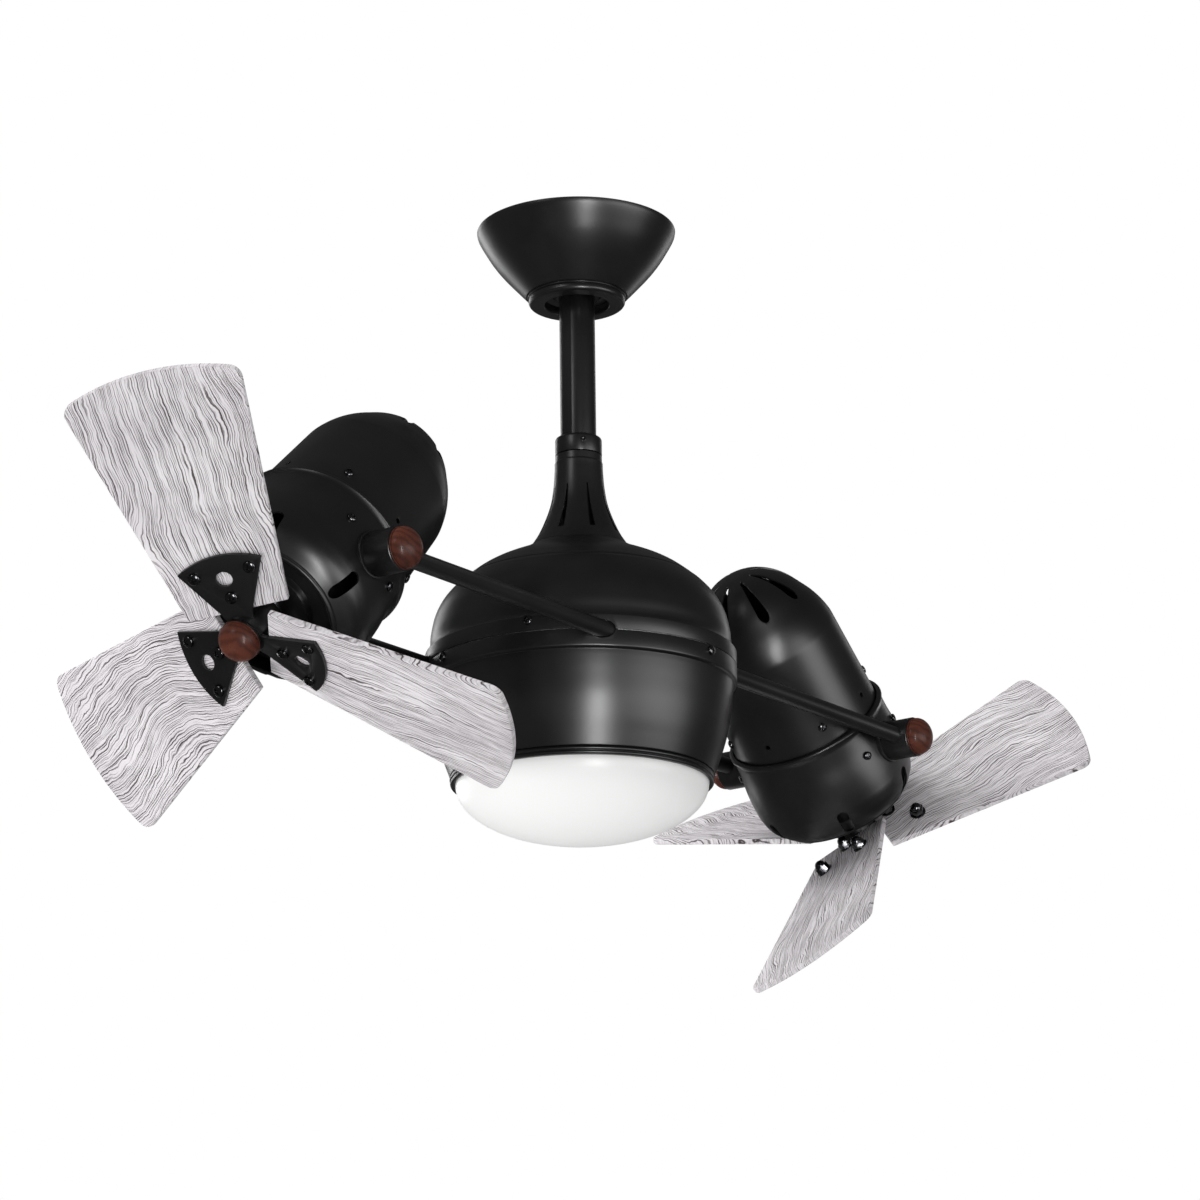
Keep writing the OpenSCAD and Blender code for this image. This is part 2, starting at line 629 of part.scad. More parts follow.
tip_arc_r = (tip_w * tip_w + pow(tip_r - corner_s, 2)) / (2 * (tip_r - corner_s));
tip_arc_a = asin(tip_w / tip_arc_r) - 2.6;

// Flat outline of a blade: narrow root, straight sides, rounded corners and an arc at the tip
function blade_outline() = let (
    c = [tip_r - tip_arc_r, 0],
    root = [[blade_in, root_w], [blade_in, -root_w]],
    tip = arc(c, tip_arc_r, -tip_arc_a, tip_arc_a, 16),
    low = fillet(root[1], [corner_s, -tip_w], tip[0], corner_r, 5),
    high = fillet(tip[16], [corner_s, tip_w], root[0], corner_r, 5))
    concat(root, low, [for (i = [1:15]) tip[i]], high);

module blade(side, i) color(grey_wood) at_blade(side, i) difference() {
    translate([0, 0, -blade_t / 2]) linear_extrude(blade_t) polygon(blade_outline());
    for (p = screw_at) translate([p[0], p[1], -blade_t])
        cylinder(r = stud_r + seat_gap, h = 2 * blade_t, $fn = 24);
}

iron_a = asin(iron_half / iron_r);

module blade_iron() difference() {
    translate([0, 0, blade_t / 2 + 0.05]) linear_extrude(iron_t) polygon(concat(
        [[10, iron_neck - 2], [10, -iron_neck + 2], [17, -iron_neck]],
        arc([0, 0], iron_r, -iron_a, iron_a, 14), [[17, iron_neck]]));
    translate([hole_at[0], hole_at[1], 0]) cylinder(r = 5.6, h = 20, $fn = 32);
    for (p = screw_at) translate([p[0], p[1], 0]) cylinder(r = stud_r + seat_gap, h = 20, $fn = 24);
}

// Turned hub on the shaft with one sector plate welded on for each blade
module blade_holder(side) color(black) difference() {
    union() {
        at_head(side) lathe([[0, holder_back], [holder_r, holder_back], [holder_r, holder_front - 2],
            [holder_r - 0.6, holder_front - 2], [holder_r - 0.6, holder_front - 1],
            [holder_r, holder_front - 1], [holder_r, holder_front], [0, holder_front]], 64);
        for (i = [0:blade_count - 1]) at_blade(side, i) blade_iron();
    }
    at_head(side) post(shaft_r + seat_gap, holder_back - 1, holder_front + 1);
}

module blade_screws(side) color(black) for (i = [0:blade_count - 1], p = screw_at) at_blade(side, i)
    translate([p[0], p[1], blade_t / 2 + 0.05 + iron_t]) pan_screw(4.2, 2.8, stud_r, iron_t + blade_t + 6);

// Acorn nuts with a washer on the back of each blade
module cap_nuts(side) color(black) for (i = [0:blade_count - 1], p = screw_at) at_blade(side, i)
    translate([p[0], p[1], -blade_t / 2 - 0.05]) rotate([180, 0, 0]) difference() {
        union() {
            cylinder(r = 6.4, h = 1.2, $fn = 32);
            cylinder(r = 5.6, h = 5.6, $fn = 6);
            translate([0, 0, 5.6]) lathe([for (p = ellipse(4.5, 4.4, 0, 90, 8)) p], 32);
            lathe([[0, 5.5], [4.5, 5.5], [4.5, 5.61], [0, 5.61]], 32);
        }
        translate([0, 0, -1]) cylinder(r = stud_r + seat_gap, h = 7.6, $fn = 24);
    }

module finial(side) color(wood) at_head(side) translate([0, 0, holder_front]) wood_dome(cap_r, 14.5, 1.6);

// ---- Assembly ----

hanger_bracket();
canopy();
canopy_ring();
canopy_screws();
hanger_ball();
ball_pin();
downrod();
rod_collar();
collar_screws();
neck_cover();
spindle();
clevis_pin();
spindle_nut();
slip_rings();
arm_carrier();
hub_bearings();
dome();
drum();
seam_screws();
front_arm();
rear_arm();
arm_clamps();
clamp_screws();
boss_caps();
pivot_bolts();
brush_holder();
lamp_plate();
led_board();
glass_bowl();
glass_ring();
rear_shell(LEFT);  // left_rear_shell
front_shell(LEFT);  // left_front_shell
shell_screws(LEFT);  // left_shell_screws
motor_frame(LEFT);  // left_motor_frame
stator(LEFT);  // left_stator
motor_bearings(LEFT);  // left_motor_bearings
pivot_bushes(LEFT);  // left_pivot_bushes
motor_rotor(LEFT);  // left_motor_rotor
blade_holder(LEFT);  // left_blade_holder
blade(LEFT, 0);  // left_blade_1
blade(LEFT, 1);  // left_blade_2
blade(LEFT, 2);  // left_blade_3
blade_screws(LEFT);  // left_blade_screws
cap_nuts(LEFT);  // left_cap_nuts
finial(LEFT);  // left_finial
rear_shell(RIGHT);  // right_rear_shell
front_shell(RIGHT);  // right_front_shell
shell_screws(RIGHT);  // right_shell_screws
motor_frame(RIGHT);  // right_motor_frame
stator(RIGHT);  // right_stator
motor_bearings(RIGHT);  // right_motor_bearings
pivot_bushes(RIGHT);  // right_pivot_bushes
motor_rotor(RIGHT);  // right_motor_rotor
blade_holder(RIGHT);  // right_blade_holder
blade(RIGHT, 0);  // right_blade_1
blade(RIGHT, 1);  // right_blade_2
blade(RIGHT, 2);  // right_blade_3
blade_screws(RIGHT);  // right_blade_screws
cap_nuts(RIGHT);  // right_cap_nuts
finial(RIGHT);  // right_finial
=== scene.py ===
"""Twin head ceiling fan: finished pieces, materials, light and camera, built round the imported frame."""
import json
import math

import bpy
from bpy.props import FloatProperty, FloatVectorProperty, IntProperty, PointerProperty
from mathutils import Matrix, Vector

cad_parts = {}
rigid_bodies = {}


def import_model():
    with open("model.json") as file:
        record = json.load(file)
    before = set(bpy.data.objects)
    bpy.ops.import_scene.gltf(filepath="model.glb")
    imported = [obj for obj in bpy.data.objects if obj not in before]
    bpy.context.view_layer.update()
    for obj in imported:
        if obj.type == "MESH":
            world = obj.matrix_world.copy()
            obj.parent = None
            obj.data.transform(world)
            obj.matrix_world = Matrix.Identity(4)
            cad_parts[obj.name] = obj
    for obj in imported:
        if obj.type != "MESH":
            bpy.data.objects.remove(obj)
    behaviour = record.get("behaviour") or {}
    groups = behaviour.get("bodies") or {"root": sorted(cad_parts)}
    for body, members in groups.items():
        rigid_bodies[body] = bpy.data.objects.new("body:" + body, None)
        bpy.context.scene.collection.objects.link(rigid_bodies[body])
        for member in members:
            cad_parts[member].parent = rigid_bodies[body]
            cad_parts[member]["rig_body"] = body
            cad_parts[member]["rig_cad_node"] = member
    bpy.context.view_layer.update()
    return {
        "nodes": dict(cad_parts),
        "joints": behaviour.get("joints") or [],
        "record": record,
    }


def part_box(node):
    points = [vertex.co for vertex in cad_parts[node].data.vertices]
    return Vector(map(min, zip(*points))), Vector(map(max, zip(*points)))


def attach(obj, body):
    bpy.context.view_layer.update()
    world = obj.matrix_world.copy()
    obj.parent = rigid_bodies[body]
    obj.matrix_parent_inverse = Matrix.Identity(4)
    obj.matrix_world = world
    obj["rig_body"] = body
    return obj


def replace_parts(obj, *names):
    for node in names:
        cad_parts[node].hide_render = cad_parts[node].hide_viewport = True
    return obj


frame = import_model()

bl_info = {
    "name": "Twin Head Ceiling Fan",
    "version": (1, 0, 0),
    "blender": (4, 5, 0),
    "location": "View3D > Sidebar > Fan",
    "description": "Models and finishes the pieces of a twin head ceiling fan on its packed frame",
    "category": "Object",
}

MM = 0.001
MERGE = 0.002 * MM
BODY_OF = {node: body for body, nodes in frame["record"]["behaviour"]["bodies"].items() for node in nodes}
SLOT_OF = {part["node"]: part["material_slot"] for part in frame["record"]["subparts"]}
JOINTS = {joint["name"]: joint for joint in frame["joints"]}

# Turn of each rotor at rest and the pitch of its blades, in degrees
TURN = {"left": -8.9, "right": 48.4}
PITCH = 18.6
BLADE_COUNT = 3
BLADE_THICKNESS = 5

# Distances from a head's pivot out along its rotor, in millimetres
BLADE_PLANE = 73.1
FINIAL_SEAT = 83

# The arms' distance from the middle and the radius of their holes, in millimetres
ARM_OFFSET = 79
ARM_HOLE = 7.05

# The turned caps on the bosses and the finials on the rotors, in millimetres
CAP_RADIUS = 14.5
CAP_HEIGHT = 12.6
FINIAL_HEIGHT = 14.5


# ---- Sizes, colours and the view, as a user would set them ----

class FanSizes(bpy.types.PropertyGroup):
    """Sizes that finish the pieces"""
    sheet: FloatProperty(
        name="Sheet", description="Wall of the pressed covers", default=1.2 * MM, unit="LENGTH")
    shell: FloatProperty(
        name="Head shell", description="Wall of the head shells", default=1.5 * MM, unit="LENGTH")
    edge: FloatProperty(
        name="Edge radius", description="Rounding of cut and folded metal edges",
        default=0.35 * MM, unit="LENGTH")
    blade_edge: FloatProperty(
        name="Blade edge radius", description="Rounding of the blades' edges",
        default=1.0 * MM, unit="LENGTH")
    grain: FloatProperty(
        name="Grain spacing", description="Distance between the dark lines of the blades' grain",
        default=2.05 * MM, unit="LENGTH")
    steps: IntProperty(
        name="Steps round", description="Steps in a full turn of a spun cover", default=144, min=48, max=256)


class FanColours(bpy.types.PropertyGroup):
    """Colours of the finishes"""
    paint: FloatVectorProperty(
        name="Paint", description="Satin black paint", subtype="COLOR", default=(0.0042, 0.0042, 0.0044))
    paint_worn: FloatVectorProperty(
        name="Handled paint", description="Paint where it has been handled", subtype="COLOR",
        default=(0.0068, 0.0068, 0.007))
    dust: FloatVectorProperty(
        name="Dust", description="Fine dust on the paint", subtype="COLOR", default=(0.05, 0.05, 0.053))
    steel: FloatVectorProperty(
        name="Blackened steel", description="Screws and nuts", subtype="COLOR", default=(0.085, 0.085, 0.09))
    blade: FloatVectorProperty(
        name="Blade", description="Pale ground of the blades", subtype="COLOR", default=(0.74, 0.715, 0.735))
    blade_shade: FloatVectorProperty(
        name="Blade shade", description="Greyer clouds in the blades", subtype="COLOR",
        default=(0.58, 0.55, 0.58))
    blade_line: FloatVectorProperty(
        name="Blade grain", description="Dark lines of the blades' grain", subtype="COLOR",
        default=(0.045, 0.03, 0.034))
    cap: FloatVectorProperty(
        name="Cap wood", description="Stained wood of the caps", subtype="COLOR",
        default=(0.088, 0.025, 0.015))
    cap_line: FloatVectorProperty(
        name="Cap grain", description="Dark grain of the caps", subtype="COLOR",
        default=(0.030, 0.010, 0.007))
    glass: FloatVectorProperty(
        name="Glass", description="Opal glass", subtype="COLOR", default=(0.80, 0.805, 0.795))


class FanView(bpy.types.PropertyGroup):
    """Camera and light"""
    place: FloatVectorProperty(
        name="Camera place", description="Where the camera stands", subtype="TRANSLATION",
        default=(-2.3186, -1.6984, -1.1321))
    yaw: FloatProperty(
        name="Yaw", description="Turn of the view from +Y towards +X", subtype="ANGLE",
        default=math.radians(54.067))
    pitch: FloatProperty(
        name="Pitch", description="Tilt of the view above the horizon", subtype="ANGLE",
        default=math.radians(16.341))
    roll: FloatProperty(
        name="Roll", description="Roll of the camera", subtype="ANGLE", default=math.radians(-0.725))
    lens: FloatProperty(name="Lens", description="Focal length on a 36 mm sensor, in mm", default=121.87)
    floor_drop: FloatProperty(
        name="Floor", description="Depth of the floor below the ceiling", default=3.2, unit="LENGTH")
    fill: FloatProperty(name="Fill", description="Strength of the light from all round", default=0.80)
    gloss: FloatProperty(
        name="Seen in gloss", description="Strength of the surroundings in reflections", default=0.08)


# ---- Node materials ----

class Wire:
    """A socket that can stand in a sum; each step of the sum adds a Math node."""

    def __init__(self, finish, socket):
        self.finish = finish
        self.socket = socket

    def __add__(self, other):
        return self.finish.math("ADD", self, other)

    def __sub__(self, other):
        return self.finish.math("SUBTRACT", self, other)

    def __rsub__(self, other):
        return self.finish.math("SUBTRACT", other, self)

    def __mul__(self, other):
        return self.finish.math("MULTIPLY", self, other)

    def __truediv__(self, other):
        return self.finish.math("DIVIDE", self, other)

    __radd__ = __add__
    __rmul__ = __mul__

    def whole(self):
        return self.finish.math("FLOOR", self)

    def part(self):
        return self.finish.math("FRACT", self)

    def size(self):
        return self.finish.math("ABSOLUTE", self)

    def smooth(self, low, high):
        """0 below low, 1 above high and an even slope between."""
        values = {"Value": self, "From Min": low, "From Max": high}
        return self.finish.add("MapRange", {"interpolation_type": "SMOOTHSTEP"}, values, "Result")


class Finish:
    """One node material. add makes a node of any type and returns one of its outputs."""

    def __init__(self, name, constants):
        self.material = bpy.data.materials.new(name)
        self.material.use_nodes = True
        self.nodes = self.material.node_tree.nodes
        self.links = self.material.node_tree.links
        self.shader = self.nodes["Principled BSDF"]
        for socket, value in constants.items():
            self.shader.inputs[socket].default_value = value

    def add(self, kind, settings=None, values=None, output=0):
        node = self.nodes.new("ShaderNode" + kind)
        for name, value in (settings or {}).items():
            setattr(node, name, value)
        for key, value in (values or {}).items():
            self.plug(node.inputs[key], value)
        return Wire(self, node.outputs[output])

    def plug(self, socket, value):
        if isinstance(value, Wire):
            self.links.new(value.socket, socket)
        elif socket.type == "RGBA":
            socket.default_value = (*value, 1.0)
        else:
            socket.default_value = value

    def feed(self, **wires):
        """Joins wires to the shader's sockets; an underscore stands for a space."""
        for name, wire in wires.items():
            self.plug(self.shader.inputs[name.replace("_", " ")], wire)

    def math(self, operation, *values):
        return self.add("Math", {"operation": operation}, dict(enumerate(values)))

    def mix(self, share, first, second):
        """A colour between two others."""
        values = {0: share, 6: first, 7: second}
        return self.add("Mix", {"data_type": "RGBA"}, values, 2)

    def place(self, matrix=None, stretch=(1, 1, 1)):
        """Object coordinates, or those of a frame that is placed by a matrix, drawn out along its axes."""
        at = self.add("TexCoord", output="Object")
        if matrix is not None:
            back = matrix.inverted()
            at = self.add("Mapping", None, {
                "Vector": at, "Location": back.translation, "Rotation": back.to_euler()})
        return self.drawn(at, stretch)

    def drawn(self, at, stretch):
        if tuple(stretch) == (1, 1, 1):
            return at
        return self.add("Mapping", None, {"Vector": at, "Scale": stretch})

    def noise(self, at, scale, detail=2.0, roughness=0.5):
        values = {"Vector": at, "Scale": scale, "Detail": detail, "Roughness": roughness}
        return self.add("TexNoise", None, values)

    def across(self, at, axis):
        return self.add("SeparateXYZ", None, {"Vector": at}, axis)

    def relief(self, height, depth):
        """Raises the surface by height times depth, in metres."""
        values = {"Height": height, "Strength": 1.0, "Distance": depth}
        self.feed(Normal=self.add("Bump", None, values, "Normal"))


def satin_black(finish, colours):
    """Black powder coat: fine orange peel, patches that were handled and a trace of dust."""
    at = finish.place()
    patches = finish.noise(at, 16, 4)
    peel = finish.noise(at, 900, 2)
    dust = finish.noise(at, 240, 6, 0.7).smooth(0.62, 0.78)
    tone = finish.mix(patches.smooth(0.3, 0.7), colours.paint, colours.paint_worn)
    finish.feed(Base_Color=finish.mix(dust * 0.06, tone, colours.dust))
    finish.feed(Roughness=patches * 0.10 + dust * 0.08 + 0.29)
    finish.relief(peel, 0.012 * MM)


def black_fastener(finish, colours):
    """Glossy blackened steel with fine rubs."""
    at = finish.place()
    rubs = finish.noise(finish.drawn(at, (1, 5, 1)), 500, 4, 0.65)
    worn = finish.noise(at, 180, 3).smooth(0.55, 0.75)
    finish.feed(Base_Color=finish.mix(worn * 0.5, colours.steel, colours.dust))
    finish.feed(Roughness=rubs * 0.16 + 0.10)
    finish.relief(rubs, 0.01 * MM)


def bare_metal(finish, light, dark, scale, rough, depth):
    """Worked metal: streaked brightness, a varied polish and shallow marks."""
    at = finish.place()
    streaks = finish.noise(finish.drawn(at, (1, 1, 6)), scale, 5, 0.6)
    clouds = finish.noise(at, scale / 18, 3)
    finish.feed(Base_Color=finish.mix(streaks.smooth(0.3, 0.7), dark, light))
    finish.feed(Roughness=streaks * 0.18 + clouds * 0.12 + (rough - 0.15))
    finish.relief(streaks, depth)


def zinc_plate(finish, colours):
    """Zinc plated steel with a faint spangle."""
    bare_metal(finish, (0.66, 0.67, 0.68), (0.50, 0.51, 0.54), 260, 0.36, 0.01 * MM)


def cast_alloy(finish, colours):
    """Sand cast alloy, coarse and dull."""
    bare_metal(finish, (0.62, 0.62, 0.63), (0.44, 0.44, 0.46), 620, 0.52, 0.05 * MM)


def bare_steel(finish, colours):
    """Ground steel."""
    bare_metal(finish, (0.60, 0.61, 0.62), (0.46, 0.47, 0.49), 900, 0.28, 0.006 * MM)


def brass(finish, colours):
    """Machined brass, slightly tarnished."""
    bare_metal(finish, (0.74, 0.56, 0.27), (0.52, 0.37, 0.17), 420, 0.34, 0.01 * MM)


def laminations(finish, colours):
    """Stacked sheet steel with a varnished, slightly coppery bloom."""
    bare_metal(finish, (0.40, 0.30, 0.22), (0.22, 0.16, 0.12), 1400, 0.45, 0.04 * MM)


def black_plastic(finish, colours):
    """Moulded black plastic with a fine spark texture."""
    at = finish.place()
    spark = finish.noise(at, 1600, 3, 0.6)
    clouds = finish.noise(at, 40, 3)
    finish.feed(Base_Color=finish.mix(clouds, colours.paint, colours.paint_worn))
    finish.feed(Roughness=spark * 0.15 + 0.38)
    finish.relief(spark, 0.02 * MM)


def white_board(finish, colours):
    """White solder mask with the weave of the board just showing."""
    at = finish.place()
    weave = finish.across(at, "X") / (0.6 * MM)
    weft = finish.across(at, "Y") / (0.6 * MM)
    cloth = (weave.part() - 0.5).size() + (weft.part() - 0.5).size()
    finish.feed(Base_Color=finish.mix(cloth * 0.3, (0.86, 0.86, 0.84), (0.70, 0.71, 0.68)))
    finish.feed(Roughness=finish.noise(at, 300, 3) * 0.15 + 0.30)
    finish.relief(cloth, 0.01 * MM)


def cap_wood(finish, colours):
    """Stained and varnished hardwood: wavy dark streaks and open pores under a clear coat."""
    at = finish.place()
    bend = finish.noise(at, 45, 3)
    rings = (finish.across(at, "Z") + finish.across(at, "X") * 0.35 + (bend - 0.5) * 0.016) / (5.2 * MM)
    streak = (rings.part() - 0.5).size().smooth(0.16, 0.46)
    pores = finish.noise(finish.drawn(at, (5, 5, 1)), 260, 4, 0.6).smooth(0.56, 0.70)
    stain = finish.noise(at, 60, 4)
    ground = finish.mix(streak * 0.5, colours.cap, colours.cap_line)
    finish.feed(Base_Color=finish.mix(pores * 0.6, ground, colours.cap_line))
    finish.feed(Roughness=stain * 0.16 + pores * 0.12 + 0.34)
    finish.relief(1 - pores, 0.03 * MM)


def blade_wood(finish, colours, sizes, matrix, depth):
    """Weathered pale wood: dark, wavering, broken lines along the blade, sunk into a fibrous ground.
    The blade lies at a depth below the origin of the board that it is cut from."""
    at = finish.place(matrix)
    lengthways = finish.drawn(at, (0.8, 0.5, 0.5))
    sway = finish.noise(lengthways, 10, 1)
    wander = finish.noise(lengthways, 52, 2)
    jitter = finish.noise(finish.drawn(at, (1, 0.6, 0.6)), 260, 2)
    crowd = finish.noise(finish.drawn(at, (0.1, 1, 1)), 75, 1)
    rise = (finish.across(at, "Y") + (sway - 0.5) * 0.07 + (wander - 0.5) * 0.0075
            + (jitter - 0.5) * 0.0009 + (crowd - 0.5) * 0.009)

    def ruled(spacing, width):
        """Lines along the blade, each fading and thickening in its own places."""
        lines = rise / spacing
        row = finish.add("CombineXYZ", None, {"X": finish.across(at, "X") * 22, "Y": lines.whole() * 3.7})
        own = finish.noise(row, 1, 3, 0.6)
        return (1 - (lines.part() - 0.5).size().smooth(0.02, own * width)) * own.smooth(0.36, 0.60)

    groove = ruled(sizes.grain, 0.42)
    fine = ruled(sizes.grain * 0.6, 0.44)
    fibres = finish.noise(finish.drawn(at, (0.06, 1, 1)), 1500, 3, 0.6)
    clouds = finish.noise(lengthways, 26, 4)
    ground = finish.mix(clouds.smooth(0.35, 0.72) * 0.6 + fibres * 0.3, colours.blade, colours.blade_shade)
    faint = finish.mix(fine, ground, colours.blade_line)
    chips = finish.noise(finish.drawn(at, (1, 1, 0.3)), 420, 3, 0.6).smooth(0.42, 0.56)
    face = BLADE_THICKNESS / 2
    side = 1 - (finish.across(at, "Z") + depth).size().smooth((face - 0.3) * MM, (face - 0.05) * MM)
    sawn = finish.mix(side * chips * 0.16, faint, colours.blade_line)
    dark = groove * (1 - side * 0.85)
    finish.feed(Base_Color=finish.mix(dark, sawn, colours.blade_line))
    finish.feed(Roughness=groove * 0.2 + fibres * 0.2 + 0.46)
    finish.relief(1 - dark - fine * 0.25 + fibres * 0.2, 0.3 * MM)


def opal_glass(finish, colours):
    """White opal glass: a smooth skin over slightly cloudy white."""
    at = finish.place()
    clouds = finish.noise(at, 14, 3)
    skin = finish.noise(at, 60, 2)
    finish.feed(Base_Color=finish.mix(clouds * 0.25, colours.glass, (0.74, 0.75, 0.74)))
    finish.feed(Roughness=skin * 0.08 + 0.30)
    finish.feed(Emission_Color=finish.mix(clouds * 0.3, (1.0, 1.0, 0.99), (0.93, 0.94, 0.93)))
    finish.relief(skin, 0.05 * MM)


PAINT = {"Specular IOR Level": 0.5}
METAL = {"Metallic": 1.0}
FINISHES = {
    "black_paint": (satin_black, PAINT),
    "black_screws": (black_fastener, METAL),
    "black_plastic": (black_plastic, PAINT),
    "zinc_plate": (zinc_plate, METAL),
    "cast_alloy": (cast_alloy, METAL),
    "bare_steel": (bare_steel, METAL),
    "motor_laminations": (laminations, METAL),
    "brass": (brass, METAL),
    "cap_wood": (cap_wood, {"Specular IOR Level": 0.1, "Coat Weight": 0.1, "Coat Roughness": 0.16}),
    "white_board": (white_board, {}),
    "opal_glass": (opal_glass, {"Specular IOR Level": 0.3, "Emission Strength": 0.06}),
}

# The materials made so far, by slot
made = {}


def finish_for(slot):
    """The material of a slot, made the first time that it is asked for."""
    if slot not in made:
        maker, constants = FINISHES[slot]
        finish = Finish(slot, constants)
        maker(finish, bpy.context.scene.fan_colours)
        made[slot] = finish.material
    return made[slot]


# ---- Outlines, in millimetres ----

def arc(x, y, radius, start, end, count):
    """Points on an arc from one angle to another, in degrees."""
    angles = [math.radians(start + (end - start) * i / count) for i in range(count + 1)]
    return [(x + radius * math.cos(a), y + radius * math.sin(a)) for a in angles]


def dish(radius, height, start, end, count, lift=0.0):
    """Points on a quarter of an ellipse that is centred on the axis."""
    return [(radius * x, lift + height * y) for x, y in arc(0, 0, 1, start, end, count)]


def between(a, b, count):
    """Points that divide the way from a to b; b is one of them and a isn't."""
    return [tuple(Vector(a).lerp(Vector(b), i / count)) for i in range(1, count + 1)]


def flow(stations, count):
    """A smooth line through stations, with count steps between each two."""
    last = len(stations) - 1
    points = []
    for i in range(last):
        a, b, c, d = (Vector(stations[min(max(k, 0), last)]) for k in (i - 1, i, i + 1, i + 2))
        for j in range(count):
            t = j / count
            bend, twist = 2 * a - 5 * b + 4 * c - d, 3 * b - a - 3 * c + d
            point = 2 * b + (c - a) * t + bend * t * t + twist * t ** 3
            points.append(tuple(0.5 * point))
    return points + [tuple(stations[last])]


def moved_in(line, distance):
    """The line moved sideways: towards the axis where it runs down, for a positive distance."""
    last = len(line) - 1
    inner = []
    for i, point in enumerate(line):
        along = Vector(line[min(i + 1, last)]) - Vector(line[max(i - 1, 0)])
        side = Vector((along.y, -along.x)).normalized()
        inner.append(tuple(Vector(point) + side * distance))
    return inner


def pressed(line, wall):
    """The closed outline of a sheet that follows a line."""
    return line + moved_in(line, wall)[::-1]


def fillet(a, b, c, radius, count):
    """Points that round the corner at b."""
    a, b, c = Vector(a), Vector(b), Vector(c)
    u, v = (a - b).normalized(), (c - b).normalized()
    half = u.angle(v) / 2
    centre = b + (u + v).normalized() * radius / math.sin(half)
    ends = [b + w * radius / math.tan(half) - centre for w in (u, v)]
    start, end = (math.degrees(math.atan2(p.y, p.x)) for p in ends)
    sweep = (end - start + 180) % 360 - 180
    return arc(centre.x, centre.y, radius, start, start + sweep, count)


# ---- Modelling steps ----

def turned(axis, degrees):
    return Matrix.Rotation(math.radians(degrees), 4, axis)


def shifted(x, y, z):
    return Matrix.Translation(Vector((x, y, z)) * MM)


def outwards(angle, height):
    """A frame whose Z axis points out from the piece's own axis, at an angle and a height."""
    return turned("Z", angle) @ shifted(0, 0, height) @ turned("Y", 90)


def select_only(*pieces):
    """Leaves just these pieces selected, in object mode, with the first of them active."""
    if bpy.context.mode != "OBJECT":
        bpy.ops.object.mode_set(mode="OBJECT")
    bpy.ops.object.select_all(action="DESELECT")
    for piece in pieces:
        piece.select_set(True)
    if pieces:
        bpy.context.view_layer.objects.active = pieces[0]


def edit(piece, kind="VERT"):
    """Opens a piece in edit mode with all of it selected."""
    select_only(piece)
    bpy.ops.object.mode_set(mode="EDIT")
    bpy.ops.mesh.select_mode(type=kind)
    bpy.ops.mesh.select_all(action="SELECT")


def close(piece):
    """Merges doubled points, turns the faces outwards and goes back to object mode."""
    bpy.ops.mesh.select_all(action="SELECT")
    bpy.ops.mesh.remove_doubles(threshold=MERGE)
    bpy.ops.mesh.normals_make_consistent(inside=False)
    bpy.ops.object.mode_set(mode="OBJECT")
    return piece


def placed(piece, matrix):
    """Moves a piece by a matrix and applies the move to its mesh."""
    piece.matrix_basis = matrix @ piece.matrix_basis
    select_only(piece)
    bpy.ops.object.transform_apply(location=True, rotation=True, scale=True)
    return piece


def copied(piece, matrix):
    """A copy of a piece with its own mesh, moved by a matrix."""
    select_only(piece)
    bpy.ops.object.duplicate()
    return placed(bpy.context.object, matrix)


def traced(name, points, closed=True):
    """Draws a line through points by extruding one vertex along them, and stays in edit mode."""
    select_only()
    bpy.ops.mesh.primitive_plane_add(size=MM, location=(0, 0, 0))
    piece = bpy.context.object
    piece.name = name
    edit(piece)
    bpy.ops.mesh.merge(type="CENTER")
    path = [Vector(point) * MM for point in points]
    bpy.ops.transform.translate(value=path[0])
    ends = path[1:] + path[:1] if closed else path[1:]
    for here, there in zip(path, ends):
        bpy.ops.mesh.extrude_vertices_move(TRANSFORM_OT_translate={"value": there - here})
    bpy.ops.mesh.select_all(action="SELECT")
    bpy.ops.mesh.remove_doubles(threshold=MERGE)
    return piece


def lathed(name, outline, edge=0.0, steps=0):
    """Spins an outline of (radius, height) round the Z axis and rounds its sharp edges."""
    outline = [(0.0 if abs(r) < 1e-6 else r, z) for r, z in outline]
    closed = outline[0][0] > 0 or outline[-1][0] > 0
    piece = traced(name, [(r, 0, z) for r, z in outline], closed)
    count = steps or bpy.context.scene.fan_sizes.steps
    bpy.ops.mesh.spin(steps=count, angle=math.tau, center=(0, 0, 0), axis=(0, 0, 1))
    close(piece)
    return rounded(piece, edge) if edge else piece


def slab(name, outline, low, high):
    """A flat plate with an outline in X and Y, from one height to another."""
    piece = traced(name, [(x, y, low) for x, y in outline])
    bpy.ops.mesh.edge_face_add()
    bpy.ops.mesh.extrude_region_move(TRANSFORM_OT_translate={"value": (0, 0, (high - low) * MM)})
    return close(piece)


def drill(radius, low, high, matrix=Matrix.Identity(4)):
    """A round bar to cut a hole with."""
    select_only()
    bpy.ops.mesh.primitive_cylinder_add(
        vertices=40, radius=radius * MM, depth=(high - low) * MM, location=(0, 0, (low + high) / 2 * MM))
    return placed(bpy.context.object, matrix)


def rounded(piece, edge, sharper_than=40, rings=2):
    """Rounds the edges that are sharper than an angle, in degrees."""
    edit(piece, "EDGE")
    bpy.ops.mesh.select_all(action="DESELECT")
    bpy.ops.mesh.edges_select_sharp(sharpness=math.radians(sharper_than))
    bpy.ops.mesh.bevel(offset=edge, segments=rings, profile=0.5, clamp_overlap=True)
    bpy.ops.object.mode_set(mode="OBJECT")
    return piece


def joined(pieces):
    select_only(*pieces)
    bpy.ops.object.join()
    return pieces[0]


